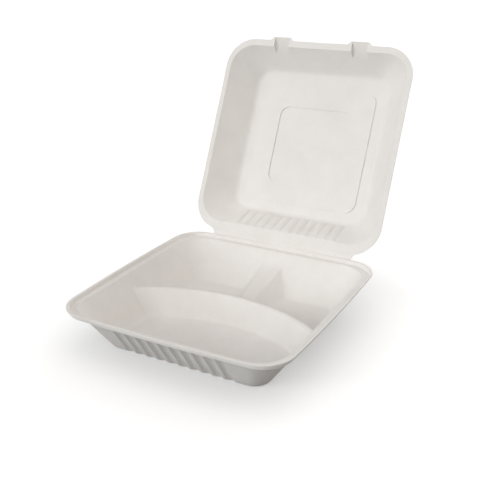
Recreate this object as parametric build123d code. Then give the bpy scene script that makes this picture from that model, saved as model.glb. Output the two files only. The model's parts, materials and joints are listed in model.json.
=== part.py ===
"""Moulded pulp meal box with three compartments and a lid on a folded hinge.

Millimetres. X runs along the hinge, +Y points to the hinge side, +Z is up.
The origin is the centre of the flat foot that the tray stands on.
The tray and the lid are one moulding, parted here at the fold so that the lid can swing.
"""
import os
from math import acos, atan2, cos, pi, radians, sin, sqrt, tan

from build123d import *

# Pulp
tray_wall = 1.2
lid_wall = 1.0
fold_gap = 0.3  # clearance between tray and lid along the fold
seat_gap = 0.3  # clearance between the closed lid and what it lies on
bend_flats = 3  # narrow faces that make up each long bend
over = 5.0  # how far a cutting body reaches past what it cuts

# Tray, overall
tray_side = 233.2  # X and Y, over the lip at mid side
tray_height = 44.0
tray_corner = 30.0  # plan radius of the lip
side_bow = 1.6  # how far each side of the rim swells past its ends

# Tray rim, from the outer edge inward
lip_top = 2.6  # flat top of the lip
ledge_drop = 3.8  # the lid's seat lies this far below the lip
riser_draft = 0.8  # how far the step below the lip leans inward
ledge_width = 6.4  # at mid side, less towards the corners
opening_corner = 29.0  # plan radius where the wall starts

# Tray walls, which are straight in plan
wall_lean = radians(32.5)  # from the vertical, on all four sides
floor_corner = 14.0
floor_round = 4.0  # crease between wall and floor, inside

# Flutes, of the tray's front wall and of the lid's hinge-side wall
flute_fade = 6.0  # length over which each end of a groove runs out
flute_lift = 0.4  # how far the thin ends of a groove's cutter stand off the wall
tray_flutes = 10
tray_flute_pitch = 11.75
tray_flute_radius = 6.2
tray_flute_depth = 1.9
tray_flute_top = 7.5  # where each groove starts, below the lip

# Arched divider, a ridge swept round a far centre
arch_height = 27.5
arch_sweep = 178.0  # plan radius of the crest line
arch_mid_y = 15.6  # crest line at mid width
arch_lean = radians(21.0)
arch_crest_half = 0.6  # half width of the flat on the crest
ridge_round = 3.0  # long edges of both dividers' crests
ridge_foot_round = 4.0  # creases where both dividers leave the floor

# Short divider between the two rear compartments
stub_rear_y = 99.0  # the crest is at its highest here, on the rear wall
stub_high = 27.0
stub_low = 12.5  # crest beside the arched divider
stub_high_half = 12.0  # half width of the crest on the rear wall
stub_low_half = 6.5
stub_foot_half = 14.5
stub_fall = 4.5  # power of the crest's fall away from the rear wall
stub_stations = (0.0, 0.4, 0.65, 0.85, 1.0, 1.1)  # shares of the way to the rear wall

# Lid
lid_width = 217.4
lid_front_inset = 8.0  # edge of the closed lid, in from the tray's front lip
lid_rear_set = 4.8  # rear edge of the flange, forward of the fold
lid_corner = 32.0
lid_flange = 5.4
lid_front_flange = 7.0
lid_rear_flange = 10.2
lid_depth = 30.0
lid_side_run = 25.2  # how far the side walls lean in over the depth
lid_front_run = 19.6
lid_rear_run = 22.4
lid_rim_corner = 27.0  # plan radius where the lid's wall starts
lid_panel_corner = 16.0
lid_panel_bend = 2.4  # height over which the walls bend into the panel
open_angle = 116.5  # how far the lid stands open at rest

# Raised frame on the lid's panel
frame_set = 114.6  # centre of the frame, forward of the fold
frame_outer = 132.0
frame_inner = 86.0
frame_outer_corner = 12.0
frame_inner_corner = 10.0
frame_height = 1.2

lid_flutes = 12
lid_flute_pitch = 10.4
lid_flute_radius = 5.2
lid_flute_depth = 1.5
lid_flute_start = -1.5  # where each groove starts, above the flange
lid_flute_end = 27.5

# Hinge strip
strip_past_corner = 5.8  # how far each end reaches past the start of the flange's corner
strip_notch = 5.5  # concave radius beside the strip
strip_flat = 3.0  # part of the strip that lies over the tray's lip
strip_ramp_end = 12.0  # here the strip is down at flange level

# Closing tabs on the lid's front edge
tab_set = 31.2  # centre of each tab, in from where the flange's corner starts
tab_width = 20.5  # at the tip
tab_reach = 3.6  # past the flange's front edge
tab_flare = 3.4  # how much wider each side is where it leaves the flange
tab_round = 2.4  # its corners in plan
tab_rise = 8.0  # height of the root on the lid's front wall
tab_draft = 1.2  # how far each side of the sloping back leans in

# Values that follow
half_side = tray_side / 2
ledge_z = tray_height - ledge_drop
seat_z = ledge_z + seat_gap
seat_inset = lip_top + riser_draft
opening_inset = seat_inset + ledge_width
wall_across = tray_wall / cos(wall_lean)  # wall thickness measured level
chord = half_side - side_bow - tray_corner
far = (chord**2 + side_bow**2) / (2 * side_bow)  # plan radius of the bowed lip
fold_y = half_side - side_bow + fold_gap / 2
panel_z = seat_z + lid_depth
lid_half = lid_width / 2
lid_rear_y = fold_y - lid_rear_set
lid_front_y = lid_front_inset - half_side
strip_half = lid_half - lid_corner + strip_past_corner
tab_centre = lid_half - lid_corner - tab_set
tab_slope = tab_reach + lid_front_flange + tab_rise * lid_front_run / lid_depth


def bowed_plan(inset, corner, z):
    """Rounded square whose sides swell a little, drawn round the same four far centres."""
    radius = far - inset
    shift = far - half_side
    tip = (sqrt(2 * radius**2 - shift**2) - shift) / 2
    mid = half_side - inset
    south = ThreePointArc((-tip, -tip), (0, -mid), (tip, -tip))
    east = ThreePointArc((tip, -tip), (mid, 0), (tip, tip))
    north = ThreePointArc((tip, tip), (0, mid), (-tip, tip))
    west = ThreePointArc((-tip, tip), (-mid, 0), (-tip, -tip))
    plan = make_face([south, east, north, west])
    return Pos(0, 0, z) * fillet(plan.vertices(), corner)


def skin(low, high):
    """Ruled body between two plan outlines."""
    return loft([low.face(), high.face()], ruled=True)


def opening_plan(z, grow):
    """Plan of the tray's wall at a height: its inner face, or grown outward level."""
    half = half_side - opening_inset - (ledge_z - z) * tan(wall_lean) + grow
    share = (z - tray_wall) / (ledge_z - tray_wall)
    corner = floor_corner + (opening_corner - floor_corner) * share + grow
    return Pos(0, 0, z) * RectangleRounded(2 * half, 2 * half, corner)


def opening_body(floor_z, grow):
    """Room inside the tray's walls down to a height, or the tray's outside when grown level."""
    radius = floor_round + tray_wall - floor_z
    full_turn = pi / 2 - wall_lean
    plans = []
    for turn in turns(0, full_turn):
        rise = radius * (1 - cos(turn))
        back = rise * tan(wall_lean) + radius * (tan(full_turn / 2) - sin(turn))
        plans.append(opening_plan(floor_z + rise, grow - back))
    plans.append(opening_plan(ledge_z, grow))
    return loft([plan.face() for plan in plans], ruled=True)


def riser_plan(z, grow):
    """Plan of the step between ledge and lip at a height, grown outward by the given width."""
    inset = lip_top + riser_draft * (tray_height - z) / ledge_drop - grow
    return bowed_plan(inset, tray_corner - inset, z)


def turns(start, end):
    """Even steps from one direction to another round a bend."""
    return [start + (end - start) * step / bend_flats for step in range(bend_flats + 1)]


def bend(centre, radius, start, end):
    """Points along a round bend in a section."""
    return [(centre[0] + radius * cos(turn), centre[1] + radius * sin(turn)) for turn in turns(start, end)]


def ridge_section(crest_half, crest_z, lean, shrink):
    """Section of a ridge that stands on the floor, with a narrow flat along its crest.

    Shrunk by the pulp's thickness, it is the hollow under the ridge.
    """
    top_z = crest_z - ridge_round
    low_z = tray_wall + ridge_foot_round
    spread = (ridge_round + ridge_foot_round + (top_z - low_z) * sin(lean)) / cos(lean)
    low_x = crest_half + spread
    right = bend((crest_half, top_z), ridge_round - shrink, pi / 2, lean)
    right += bend((low_x, low_z), ridge_foot_round + shrink, pi + lean, 1.5 * pi)
    right.append((low_x, -over))
    left = [(-x, z) for x, z in reversed(right)]
    return make_face(Polyline(*right, *left, close=True))


def arch(shrink):
    """Arched ridge across the tray, or the hollow under it."""
    section = ridge_section(arch_crest_half, arch_height, arch_lean, shrink)
    centre = Axis((0, arch_mid_y - arch_sweep, 0), (0, 0, 1))
    return revolve(Plane.YZ * Pos(arch_mid_y, 0) * section, centre, 360)


def stub_section(share, shrink):
    """Cross-section of the short divider at a share of the way from the arch to the rear wall."""
    rise = share**stub_fall
    top = stub_low + (stub_high - stub_low) * rise
    top_half = stub_low_half + (stub_high_half - stub_low_half) * rise
    lean = atan2(stub_foot_half - top_half, top)
    crest_half = top_half + (ridge_round * sin(lean) - ridge_round) / cos(lean)
    y = arch_mid_y + (stub_rear_y - arch_mid_y) * share
    section = ridge_section(crest_half, top, lean, shrink)
    return Plane((0, y, 0), x_dir=(1, 0, 0), z_dir=(0, -1, 0)) * section


def stub(shrink):
    """Short divider, a low ridge that climbs the rear wall, or the hollow under it."""
    sections = [stub_section(share, shrink) for share in stub_stations]
    return loft([section.face() for section in sections])


def ridges(shrink):
    return arch(shrink) + stub(shrink)


def groove(start, direction, wallward, radius, depth, length):
    """Round groove cutter from a start point along a direction, with ends that slope out."""
    thin = radius - depth - flute_lift
    along = Plane(start, x_dir=wallward, z_dir=direction)
    barrel = along * Cylinder(radius, length, align=(Align.CENTER, Align.CENTER, Align.MIN))
    profile = Polyline(
        (0, 0), (thin, 0), (radius, flute_fade), (radius, length - flute_fade), (thin, length), (0, length),
        close=True,
    )
    side = Plane(start, x_dir=wallward, z_dir=wallward.cross(direction)) * make_face(profile)
    return barrel & extrude(side, radius, both=True)


def row(count, pitch):
    """Positions along X of an evenly spaced, centred row."""
    return [(place - (count - 1) / 2) * pitch for place in range(count)]


def tray_grooves(grow):
    """Grooves in the front wall, with their radius grown by the given thickness."""
    z = tray_height - tray_flute_top
    face_y = opening_inset - wall_across + (ledge_z - z) * tan(wall_lean) - half_side
    stand_off = tray_flute_radius - tray_flute_depth
    down = Vector(0, sin(wall_lean), -cos(wall_lean))
    outward = Vector(0, -cos(wall_lean), -sin(wall_lean))
    length = tray_height / cos(wall_lean) + over
    cutters = []
    for x in row(tray_flutes, tray_flute_pitch):
        start = Vector(x, face_y, z) + outward * stand_off
        cutters.append(groove(start, down, -outward, tray_flute_radius + grow, tray_flute_depth, length))
    return cutters


def make_tray():
    wall_body = opening_body(0, wall_across)
    step_body = skin(riser_plan(ledge_z - tray_wall, tray_wall), riser_plan(tray_height, tray_wall))
    lip = extrude(bowed_plan(0, tray_corner, tray_height), -tray_wall)
    outside = wall_body - ridges(tray_wall) - tray_grooves(0) + step_body + lip
    hollow = opening_body(tray_wall, 0)
    seat = skin(riser_plan(ledge_z, 0), riser_plan(tray_height + tray_wall, 0))
    hollow = hollow - ridges(0) - tray_grooves(tray_wall) + seat
    past_fold = Pos(0, fold_y - fold_gap / 2, 0) * Box(
        tray_side, over, tray_side, align=(Align.CENTER, Align.MIN, Align.CENTER)
    )
    return outside - hollow - past_fold


def lid_lean(run):
    return atan2(run, lid_depth)


def lid_side(run, z, grow, top_z, bend_height):
    """How far a wall of the closed lid stands in from its rim at a height, past its bend."""
    lean = lid_lean(run)
    below = min(top_z - z, bend_height)
    radius = bend_height / (1 - sin(lean))
    turn = acos(1 - below / radius)
    back = below * tan(lean) + radius * (tan(pi / 4 - lean / 2) - sin(turn))
    return (z - seat_z) * tan(lean) - grow / cos(lean) + back


def lid_plan(z, grow):
    """Plan of the closed lid's wall at a height: its inner face, or grown out by a thickness."""
    top_z = panel_z + grow
    bend_height = lid_panel_bend + grow * (1 - sin(lid_lean(lid_side_run)))
    side = lid_side(lid_side_run, z, grow, top_z, bend_height)
    front = lid_side(lid_front_run, z, grow, top_z, bend_height)
    rear = lid_side(lid_rear_run, z, grow, top_z, bend_height)
    half = lid_half - lid_flange - side
    front_y = lid_front_y + lid_front_flange + front
    rear_y = lid_rear_y - lid_rear_flange - rear
    share = (z - seat_z) / lid_depth
    corner = lid_rim_corner + (lid_panel_corner - lid_rim_corner) * share + grow
    return Pos(0, (front_y + rear_y) / 2, z) * RectangleRounded(2 * half, rear_y - front_y, corner)


def lid_body(low_z, grow):
    """Room inside the closed lid's walls from a height up, or its outside when grown."""
    bend_height = lid_panel_bend + grow * (1 - sin(lid_lean(lid_side_run)))
    full_turn = pi / 2 - lid_lean(lid_side_run)
    plans = [lid_plan(low_z, grow)]
    for turn in turns(full_turn, 0):
        below = bend_height * (1 - cos(turn)) / (1 - cos(full_turn))
        plans.append(lid_plan(panel_z + grow - below, grow))
    return loft([plan.face() for plan in plans], ruled=True)


def lid_outline():
    """Plan of the closed lid's flange, with the hinge strip behind and two tabs in front."""
    length = lid_rear_y - lid_front_y
    outline = Pos(0, (lid_rear_y + lid_front_y) / 2) * RectangleRounded(lid_width, length, lid_corner)
    strip_end = fold_y - fold_gap / 2
    strip_start = lid_rear_y - lid_corner / 2
    outline += Pos(0, (strip_start + strip_end) / 2) * Rectangle(2 * strip_half, strip_end - strip_start)
    tip, root = tab_width / 2, tab_width / 2 + tab_flare
    for x in row(2, 2 * tab_centre):
        right_side = [(tip, -tab_reach), (root, 0), (root, over)]
        left_side = [(-along, across) for along, across in reversed(right_side)]
        outline += Pos(x, lid_front_y) * make_face(Polyline(*right_side, *left_side, close=True))
    corners = outline.vertices()
    tips = corners.group_by(Axis.Y)[0]
    roots = [v for v in corners if abs(v.Y - lid_front_y) < seat_gap
             and abs(abs(abs(v.X) - tab_centre) - root) < seat_gap]
    outline = fillet(tips + roots, tab_round)
    notches = [v for v in outline.vertices() if abs(abs(v.X) - strip_half) < seat_gap]
    notches = ShapeList(notches).group_by(Axis.Y)[0]
    free_side = strip_end - notches[0].Y
    return fillet(notches, min(strip_notch, free_side))


def flange_band():
    """Band that the flange is cut from, which steps up over the tray's lip behind."""
    strip_z = tray_height + seat_gap
    ramp_y = fold_y - strip_ramp_end
    crest_y = fold_y - strip_flat
    front_y = lid_front_y - over
    rear_y = fold_y + over
    under = [(front_y, seat_z), (ramp_y, seat_z), (crest_y, strip_z), (rear_y, strip_z)]
    top = [(y, z + lid_wall) for y, z in reversed(under)]
    profile = Plane.YZ * make_face(Polyline(*under, *top, close=True))
    return extrude(profile, lid_half + over, both=True)


def lid_grooves(grow):
    """Grooves in the hinge-side wall of the lid, with their radius grown by a thickness."""
    lean = lid_lean(lid_rear_run)
    z = seat_z + lid_flute_start
    face_y = lid_rear_y - lid_rear_flange - lid_flute_start * tan(lean) + lid_wall / cos(lean)
    stand_off = lid_flute_radius - lid_flute_depth
    up = Vector(0, -sin(lean), cos(lean))
    outward = Vector(0, cos(lean), sin(lean))
    length = (lid_flute_end - lid_flute_start) / cos(lean)
    cutters = []
    for x in row(lid_flutes, lid_flute_pitch):
        start = Vector(x, face_y, z) + outward * stand_off
        cutters.append(groove(start, up, -outward, lid_flute_radius + grow, lid_flute_depth, length))
    return cutters


def frame_body(z, shrink):
    """Square frame below a height, with its band narrowed on both sides by a thickness."""
    outer = frame_outer - 2 * shrink
    inner = frame_inner + 2 * shrink
    ring = RectangleRounded(outer, outer, frame_outer_corner - shrink)
    ring -= RectangleRounded(inner, inner, frame_inner_corner + shrink)
    return extrude(Pos(0, fold_y - frame_set, z) * ring, -frame_height)


def tab_wedge(grow):
    """Room under a tab's sloping back, or the outside of the tab when grown by the wall."""
    tip_y = lid_front_y - tab_reach
    root_y = tip_y + tab_slope + grow
    low_z = seat_z if grow else seat_z - over
    high_z = seat_z + tab_rise + grow
    low_half = tab_width / 2 - lid_wall + grow
    high_half = low_half - tab_draft
    side = Plane.YZ * make_face(
        Polyline((tip_y, low_z), (tip_y, seat_z + grow), (root_y, high_z), (root_y, low_z), close=True)
    )
    corners = [(low_half, low_z), (high_half, high_z), (-high_half, high_z), (-low_half, low_z)]
    front = Plane.XZ * make_face(Polyline(*corners, close=True))
    return extrude(side, tab_width, both=True) & extrude(front, tray_side, both=True)


def make_lid():
    outside = lid_body(seat_z, lid_wall) - frame_body(panel_z + lid_wall, lid_wall) - lid_grooves(0)
    hollow = lid_body(seat_z - lid_wall, 0) - frame_body(panel_z, 0) - lid_grooves(lid_wall)
    outline = extrude(lid_outline(), tray_height + panel_z)
    body = (flange_band() & outline) + outside
    for x in row(2, 2 * tab_centre):
        body += Pos(x, 0, 0) * tab_wedge(lid_wall) & outline
        hollow += Pos(x, 0, 0) * tab_wedge(0)
    closed = body - hollow
    return closed.rotate(Axis((0, fold_y, tray_height), (1, 0, 0)), -open_angle)


os.makedirs("parts", exist_ok=True)
nodes = {"tray": make_tray(), "lid": make_lid()}
for name, shape in nodes.items():
    export_step(shape, f"parts/{name}.step")
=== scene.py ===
import json
import math
import bpy
from mathutils import Matrix, Vector


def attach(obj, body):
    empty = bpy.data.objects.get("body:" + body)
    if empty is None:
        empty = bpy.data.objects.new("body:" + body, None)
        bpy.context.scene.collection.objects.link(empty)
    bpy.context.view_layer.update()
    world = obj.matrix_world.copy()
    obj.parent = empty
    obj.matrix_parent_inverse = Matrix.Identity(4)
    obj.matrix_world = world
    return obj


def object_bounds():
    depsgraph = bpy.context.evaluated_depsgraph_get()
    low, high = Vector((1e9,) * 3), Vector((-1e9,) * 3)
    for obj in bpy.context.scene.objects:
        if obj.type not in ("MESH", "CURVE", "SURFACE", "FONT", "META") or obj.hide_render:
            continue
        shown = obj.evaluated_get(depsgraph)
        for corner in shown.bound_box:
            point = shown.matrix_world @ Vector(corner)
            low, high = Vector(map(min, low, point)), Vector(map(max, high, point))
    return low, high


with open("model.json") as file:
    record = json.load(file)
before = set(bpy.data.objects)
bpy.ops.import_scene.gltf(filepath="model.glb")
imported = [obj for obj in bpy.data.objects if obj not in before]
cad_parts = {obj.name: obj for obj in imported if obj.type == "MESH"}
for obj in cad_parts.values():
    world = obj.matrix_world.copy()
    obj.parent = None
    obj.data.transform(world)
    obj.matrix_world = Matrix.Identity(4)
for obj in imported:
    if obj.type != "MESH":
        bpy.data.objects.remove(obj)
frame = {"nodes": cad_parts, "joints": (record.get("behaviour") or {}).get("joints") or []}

cad_low, cad_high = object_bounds()
scene = bpy.context.scene
hinge = next(joint for joint in frame["joints"] if joint["name"] == "lid_fold")

# Camera, fitted to the rim, the foot and the lid (degrees and metres; lens and sensor in millimetres)
CAMERA_AZIMUTH = 29.40
CAMERA_ELEVATION = 22.04
CAMERA_ROLL = -0.803
CAMERA_DISTANCE = 0.7570
CAMERA_TARGET = Vector((0.0000, 0.0297, 0.0815))
LENS = 58.49
SENSOR_WIDTH = 36.0
CLIP_START = 0.01
CLIP_END = 100.0

# Light: each lamp's strength, softness in degrees, colour and direction from the object
WORLD_LIGHT = 0.17
NEUTRAL = (1.0, 1.0, 1.0)
WARM = (1.0, 0.935, 0.87)
SHARP = 20.0
SOFT = 60.0
LAMPS = {
    "key": (0.66, SHARP, NEUTRAL, Vector((-0.45, -0.8, 0.5))),
    "low_left": (0.58, SHARP, NEUTRAL, Vector((-0.7, -0.7, 0.2))),
    "front": (0.88, SOFT, NEUTRAL, Vector((0.0, -1.0, 0.35))),
    "right": (0.68, SOFT, WARM, Vector((1.0, -0.1, 0.85))),
    "top": (0.46, SOFT, NEUTRAL, Vector((0.0, 0.05, 1.0))),
    "back": (1.5, SOFT, NEUTRAL, Vector((0.15, 1.0, 0.35))),
}

# Floor: a grey that takes the shadow, lifted by a white that is dimmer near the object as painted
# shadow (metres)
FLOOR_TONE = (0.34, 0.34, 0.34, 1.0)
FLOOR_LIFT = 0.80
FLOOR_REACH = 12.0
FLOOR_GAP = 0.0002
PAINTED_SHADOW_REACH = 0.09
PAINTED_SHADOW_SHARE = 0.56
PAINTED_SHADOW_SAMPLES = 16

# Pulp: a noise is cells a metre, detail and roughness, and a bump is depth in metres and strength
PULP_LIGHT = (0.865, 0.853, 0.835, 1.0)
PULP_DARK = (0.80, 0.783, 0.758, 1.0)
ROUGHNESS = 0.92
SHINE = 0.12
CLOUD_NOISE = (38.0, 4.0, 0.6)
GRAIN_NOISE = (900.0, 3.0, 0.6)
GRAIN_SHARE = 0.4
MOTTLE_RANGE = (0.3, 0.7)
WAVE_NOISE = (60.0, 2.0, 0.5)
WAVE_BUMP = (0.0003, 0.3)
FELT_NOISE = (700.0, 4.0, 0.65)
FELT_BUMP = (0.00012, 0.5)
TRAY_SHIFT = Vector((0.0, 0.0, 0.0))
LID_SHIFT = Vector((3.7, 2.59, 4.81))

# Shading of the CAD nodes (degrees and metres)
SMOOTH_ANGLE = 32.0
MERGE_DISTANCE = 0.00001

# Inside of the tray, as the CAD part has it (millimetres)
FLOOR_Z = 1.2
WALL_TOP_Z = 40.2
WALL_HALF = 106.8
WALL_SLOPE = math.tan(math.radians(32.5))
CORNER_LOW = 14.0
CORNER_HIGH = 29.0
CORNER_LEAST = 1.0
ARCH_TOP = 27.5
ARCH_MID_Y = 15.6
ARCH_SWEEP = 178.0
ARCH_FLAT = 1.2
ARCH_SLOPE = math.tan(math.radians(21.0))

# Fuller short divider that the soft sheet makes, low at the arch and high at the rear (millimetres)
STUB_TOP = 27.6
STUB_LOW = 13.0
STUB_REAR_Y = 99.0
STUB_FALL = 2.2
STUB_SLOPE = 0.85
STUB_FLAT = 7.5
STUB_FLARE = 4.0
STUB_CROWN = 0.5

# Soft sheet over the inside, kept where it rises above the CAD surface (millimetres)
SOFTNESS = 1.8
SINK = 0.12
STEP = 1.0
RISE_LEAST = 0.05
RIM_MARGIN = 1.5
MM_IN_METRE = 1000

# Search for the height of the sloping wall (millimetres)
SEARCH_LOW = -60.0
SEARCH_HIGH = WALL_TOP_Z + 40.0
SEARCH_STEPS = 18
FAR_BELOW = -50.0

# Bead along the fold, tapered at both ends (metres)
BEAD_HALF = 0.0795
BEAD_RADIUS = 0.0004
BEAD_TAPER = 0.003
BEAD_TIP_SHARE = 0.05
BEAD_SIDES = 10
BEAD_RINGS = 40


class Nodes:
    """Small helper that adds and wires the nodes of one material or world."""

    def __init__(self, owner):
        owner.use_nodes = True
        self.tree = owner.node_tree
        self.tree.nodes.clear()

    def add(self, kind, **values):
        node = self.tree.nodes.new(kind)
        for key, value in values.items():
            if key in node.inputs:
                node.inputs[key].default_value = value
            else:
                setattr(node, key, value)
        return node

    def link(self, output, socket):
        self.tree.links.new(output, socket)

    def noise(self, coordinates, scale, detail, roughness):
        node = self.add("ShaderNodeTexNoise", Scale=scale, Detail=detail, Roughness=roughness)
        self.link(coordinates, node.inputs["Vector"])
        return node.outputs["Fac"]

    def ramp(self, value, low, high, to_low=0.0, to_high=1.0):
        node = self.add("ShaderNodeMapRange")
        node.inputs["From Min"].default_value = low
        node.inputs["From Max"].default_value = high
        node.inputs["To Min"].default_value = to_low
        node.inputs["To Max"].default_value = to_high
        self.link(value, node.inputs["Value"])
        return node.outputs["Result"]

    def bump(self, height, depth, strength, normal=None):
        node = self.add("ShaderNodeBump", Strength=strength, Distance=depth)
        self.link(height, node.inputs["Height"])
        if normal is not None:
            self.link(normal, node.inputs["Normal"])
        return node.outputs["Normal"]


def pulp(name, pattern_shift):
    """Moulded plant fibre: a matt off-white felt with soft clouding, fine grain and slight waves."""
    material = bpy.data.materials.new(name)
    nodes = Nodes(material)
    place = nodes.add("ShaderNodeTexCoord").outputs["Object"]
    shift = nodes.add("ShaderNodeMapping", Location=pattern_shift)
    nodes.link(place, shift.inputs["Vector"])
    at = shift.outputs["Vector"]
    cloud = nodes.ramp(nodes.noise(at, *CLOUD_NOISE), *MOTTLE_RANGE)
    grain = nodes.ramp(nodes.noise(at, *GRAIN_NOISE), *MOTTLE_RANGE)
    tone = nodes.add("ShaderNodeMix", data_type="FLOAT")
    tone.inputs[0].default_value = GRAIN_SHARE
    nodes.link(cloud, tone.inputs[2])
    nodes.link(grain, tone.inputs[3])
    colour = nodes.add("ShaderNodeMix", data_type="RGBA")
    colour.inputs[6].default_value = PULP_DARK
    colour.inputs[7].default_value = PULP_LIGHT
    nodes.link(tone.outputs[0], colour.inputs[0])
    waves = nodes.bump(nodes.noise(at, *WAVE_NOISE), *WAVE_BUMP)
    felt = nodes.bump(nodes.noise(at, *FELT_NOISE), *FELT_BUMP, waves)
    shader = nodes.add("ShaderNodeBsdfPrincipled")
    shader.inputs["Roughness"].default_value = ROUGHNESS
    shader.inputs["Specular IOR Level"].default_value = SHINE
    nodes.link(colour.outputs[2], shader.inputs["Base Color"])
    nodes.link(felt, shader.inputs["Normal"])
    output = nodes.add("ShaderNodeOutputMaterial")
    nodes.link(shader.outputs["BSDF"], output.inputs["Surface"])
    return material


def smooth_group():
    """Node group that joins the facets and shades them smooth up to a set angle."""
    group = bpy.data.node_groups.new("soft_facets", "GeometryNodeTree")
    group.interface.new_socket("Geometry", in_out="INPUT", socket_type="NodeSocketGeometry")
    group.interface.new_socket("Geometry", in_out="OUTPUT", socket_type="NodeSocketGeometry")
    make = group.nodes.new
    start = make("NodeGroupInput")
    end = make("NodeGroupOutput")
    merge = make("GeometryNodeMergeByDistance")
    merge.inputs["Distance"].default_value = MERGE_DISTANCE
    faces = make("GeometryNodeSetShadeSmooth")
    faces.domain = "FACE"
    edges = make("GeometryNodeSetShadeSmooth")
    edges.domain = "EDGE"
    angle = make("GeometryNodeInputMeshEdgeAngle")
    compare = make("FunctionNodeCompare")
    compare.operation = "LESS_EQUAL"
    compare.inputs["B"].default_value = math.radians(SMOOTH_ANGLE)
    link = group.links.new
    link(start.outputs[0], merge.inputs["Geometry"])
    link(merge.outputs["Geometry"], faces.inputs["Geometry"])
    link(faces.outputs["Geometry"], edges.inputs["Geometry"])
    link(angle.outputs["Unsigned Angle"], compare.inputs["A"])
    link(compare.outputs["Result"], edges.inputs["Shade Smooth"])
    link(edges.outputs["Geometry"], end.inputs[0])
    return group


def dress(node, material, group):
    """Gives a CAD node its material and its smooth shading."""
    obj = frame["nodes"][node]
    obj.data.materials.clear()
    obj.data.materials.append(material)
    modifier = obj.modifiers.new("soft_facets", "NODES")
    modifier.node_group = group


def tray_piece(name, points, faces, material):
    """Adds a smooth piece of pulp that belongs to the tray."""
    mesh = bpy.data.meshes.new(name)
    mesh.from_pydata(points, [], faces)
    mesh.shade_smooth()
    mesh.materials.append(material)
    piece = bpy.data.objects.new(name, mesh)
    scene.collection.objects.link(piece)
    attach(piece, "tray_body")


def wall_height(x, y):
    """Height at which the tray's sloping wall passes over a point, found by halving a range."""
    x, y = abs(x), abs(y)
    low, high = SEARCH_LOW, SEARCH_HIGH
    for _ in range(SEARCH_STEPS):
        z = (low + high) / 2
        half = WALL_HALF - (WALL_TOP_Z - z) * WALL_SLOPE
        share = (z - FLOOR_Z) / (WALL_TOP_Z - FLOOR_Z)
        corner = max(CORNER_LOW + (CORNER_HIGH - CORNER_LOW) * share, CORNER_LEAST)
        dx, dy = x - half + corner, y - half + corner
        outside = math.hypot(max(dx, 0.0), max(dy, 0.0)) + min(max(dx, dy), 0.0) - corner
        if outside > 0:
            low = z
        else:
            high = z
    return (low + high) / 2


def arch_height(x, y):
    """Height of the long divider over a point."""
    away = abs(math.hypot(x, y - ARCH_MID_Y + ARCH_SWEEP) - ARCH_SWEEP)
    return ARCH_TOP - max(away - ARCH_FLAT, 0.0) / ARCH_SLOPE


def stub_height(x, y):
    """Height of the short divider over a point, highest against the rear wall."""
    if y < ARCH_MID_Y:
        return FAR_BELOW
    share = min((y - ARCH_MID_Y) / (STUB_REAR_Y - ARCH_MID_Y), 1.0) ** STUB_FALL
    crest = STUB_LOW + (STUB_TOP - STUB_LOW) * share
    half = STUB_FLAT + STUB_FLARE * share
    return crest - max(abs(x) - half, 0.0) / STUB_SLOPE - (x / half) ** 2 * STUB_CROWN


def inside_heights(x, y):
    """Height of floor, wall and long divider over a point, and that of the soft sheet over all."""
    hard_parts = (FLOOR_Z, wall_height(x, y), arch_height(x, y))
    hard = max(hard_parts)
    total = sum(math.exp((z - hard) / SOFTNESS) for z in (*hard_parts, stub_height(x, y)))
    return hard, hard + SOFTNESS * math.log(total)


def soft_corners(material):
    """Sheet that rounds the creases where the walls and dividers of the tray meet."""
    count = int(2 * WALL_HALF / STEP) + 1
    grid = {}
    for row in range(count):
        for column in range(count):
            x, y = column * STEP - WALL_HALF, row * STEP - WALL_HALF
            hard, soft = inside_heights(x, y)
            if soft - hard > RISE_LEAST and soft < WALL_TOP_Z - RIM_MARGIN:
                grid[row, column] = (x / MM_IN_METRE, y / MM_IN_METRE, (soft - SINK) / MM_IN_METRE)
    squares = []
    for row, column in grid:
        corners = [(row, column), (row, column + 1), (row + 1, column + 1), (row + 1, column)]
        if all(corner in grid for corner in corners):
            squares.append(corners)
    used = sorted({corner for square in squares for corner in square})
    number = {corner: place for place, corner in enumerate(used)}
    points = [grid[corner] for corner in used]
    faces = [[number[corner] for corner in square] for square in squares]
    tray_piece("soft_corners", points, faces, material)


def fold_bead(material):
    """Slim bead on the hinge line that closes the parting between tray and lid at every angle."""
    _, fold_y, fold_z = hinge["pos_m"]
    points, faces = [], []
    for ring in range(BEAD_RINGS + 1):
        x = BEAD_HALF * (2 * ring / BEAD_RINGS - 1)
        radius = BEAD_RADIUS * min(1.0, (BEAD_HALF - abs(x)) / BEAD_TAPER + BEAD_TIP_SHARE)
        for side in range(BEAD_SIDES):
            turn = 2 * math.pi * side / BEAD_SIDES
            points.append((x, fold_y + radius * math.cos(turn), fold_z + radius * math.sin(turn)))
    for first in range(0, BEAD_RINGS * BEAD_SIDES, BEAD_SIDES):
        for side in range(BEAD_SIDES):
            a, b = first + side, first + (side + 1) % BEAD_SIDES
            faces.append((a, b, b + BEAD_SIDES, a + BEAD_SIDES))
    faces.append(tuple(reversed(range(BEAD_SIDES))))
    faces.append(tuple(range(BEAD_RINGS * BEAD_SIDES, (BEAD_RINGS + 1) * BEAD_SIDES)))
    tray_piece("fold_bead", points, faces, material)


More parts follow.
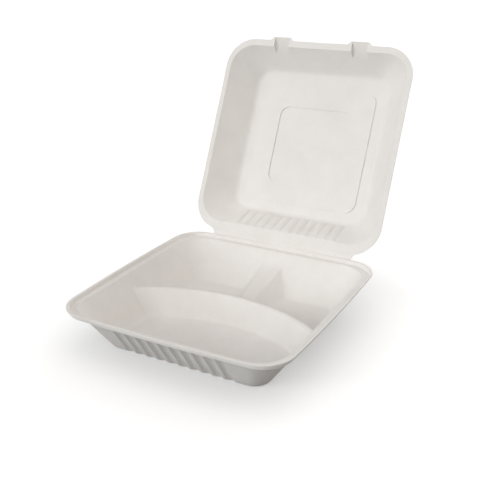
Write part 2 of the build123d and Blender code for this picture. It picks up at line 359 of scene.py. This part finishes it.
def make_camera():
    a, e, r = (math.radians(v) for v in (CAMERA_AZIMUTH, CAMERA_ELEVATION, CAMERA_ROLL))
    back = Vector((math.sin(a) * math.cos(e), -math.cos(a) * math.cos(e), math.sin(e)))
    level = Vector((math.cos(a), math.sin(a), 0.0))
    rise = back.cross(level)
    right = math.cos(r) * level + math.sin(r) * rise
    up = -math.sin(r) * level + math.cos(r) * rise
    data = bpy.data.cameras.new("camera")
    data.lens = LENS
    data.sensor_width = SENSOR_WIDTH
    data.clip_start = CLIP_START
    data.clip_end = CLIP_END
    camera = bpy.data.objects.new("camera", data)
    scene.collection.objects.link(camera)
    turn = Matrix((right, up, back)).transposed().to_4x4()
    place = Matrix.Translation(CAMERA_TARGET + back * CAMERA_DISTANCE)
    camera.matrix_world = place @ turn
    scene.camera = camera


def lifted_with_painted_shadow(nodes, shader):
    """Adds a plain white that only the camera and mirrors see, dimmed near the object as a painted
    contact shadow.
    """
    path = nodes.add("ShaderNodeLightPath")
    seen = nodes.add("ShaderNodeMath", operation="MAXIMUM")
    nodes.link(path.outputs["Is Camera Ray"], seen.inputs[0])
    nodes.link(path.outputs["Is Glossy Ray"], seen.inputs[1])
    # Painted contact shadow: ambient occlusion dims the white where the object is close
    painted_shadow = nodes.add("ShaderNodeAmbientOcclusion", Distance=PAINTED_SHADOW_REACH, samples=PAINTED_SHADOW_SAMPLES)
    lift_with_painted_shadow = nodes.ramp(painted_shadow.outputs["AO"], 0.0, 1.0, FLOOR_LIFT * (1.0 - PAINTED_SHADOW_SHARE), FLOOR_LIFT)
    amount = nodes.add("ShaderNodeMath", operation="MULTIPLY")
    nodes.link(seen.outputs[0], amount.inputs[0])
    nodes.link(lift_with_painted_shadow, amount.inputs[1])
    glow = nodes.add("ShaderNodeEmission", Color=(*NEUTRAL, 1.0))
    nodes.link(amount.outputs[0], glow.inputs["Strength"])
    both = nodes.add("ShaderNodeAddShader")
    nodes.link(shader, both.inputs[0])
    nodes.link(glow.outputs[0], both.inputs[1])
    return both.outputs[0]


def make_floor():
    mesh = bpy.data.meshes.new("floor")
    turns = ((-1, -1), (1, -1), (1, 1), (-1, 1))
    corners = [(x * FLOOR_REACH, y * FLOOR_REACH, 0.0) for x, y in turns]
    mesh.from_pydata(corners, [], [(0, 1, 2, 3)])
    floor = bpy.data.objects.new("floor", mesh)
    scene.collection.objects.link(floor)
    floor.location.z = cad_low.z - FLOOR_GAP
    material = bpy.data.materials.new("floor")
    nodes = Nodes(material)
    matt = nodes.add("ShaderNodeBsdfDiffuse", Color=FLOOR_TONE)
    output = nodes.add("ShaderNodeOutputMaterial")
    nodes.link(lifted_with_painted_shadow(nodes, matt.outputs[0]), output.inputs["Surface"])
    mesh.materials.append(material)


def make_world():
    """A weak warm light from all round, behind which the camera sees plain white."""
    world = bpy.data.worlds.new("studio")
    scene.world = world
    nodes = Nodes(world)
    path = nodes.add("ShaderNodeLightPath")
    soft = nodes.add("ShaderNodeBackground", Color=(*WARM, 1.0), Strength=WORLD_LIGHT)
    white = nodes.add("ShaderNodeBackground", Color=(*NEUTRAL, 1.0), Strength=1.0)
    mix = nodes.add("ShaderNodeMixShader")
    nodes.link(path.outputs["Is Camera Ray"], mix.inputs[0])
    nodes.link(soft.outputs[0], mix.inputs[1])
    nodes.link(white.outputs[0], mix.inputs[2])
    output = nodes.add("ShaderNodeOutputWorld")
    nodes.link(mix.outputs[0], output.inputs["Surface"])


def make_lamps():
    for name, (strength, softness, colour, direction) in LAMPS.items():
        lamp = bpy.data.lights.new(name, "SUN")
        lamp.energy = strength
        lamp.color = colour
        lamp.angle = math.radians(softness)
        holder = bpy.data.objects.new(name, lamp)
        scene.collection.objects.link(holder)
        holder.rotation_mode = "QUATERNION"
        holder.rotation_quaternion = direction.to_track_quat("Z", "Y")
        holder.location = direction


soft_facets = smooth_group()
tray_pulp = pulp("pulp_tray", TRAY_SHIFT)
dress("tray", tray_pulp, soft_facets)
soft_corners(tray_pulp)
fold_bead(tray_pulp)
dress("lid", pulp("pulp_lid", LID_SHIFT), soft_facets)
make_camera()
make_world()
make_lamps()
make_floor()
scene.view_settings.view_transform = "Standard"
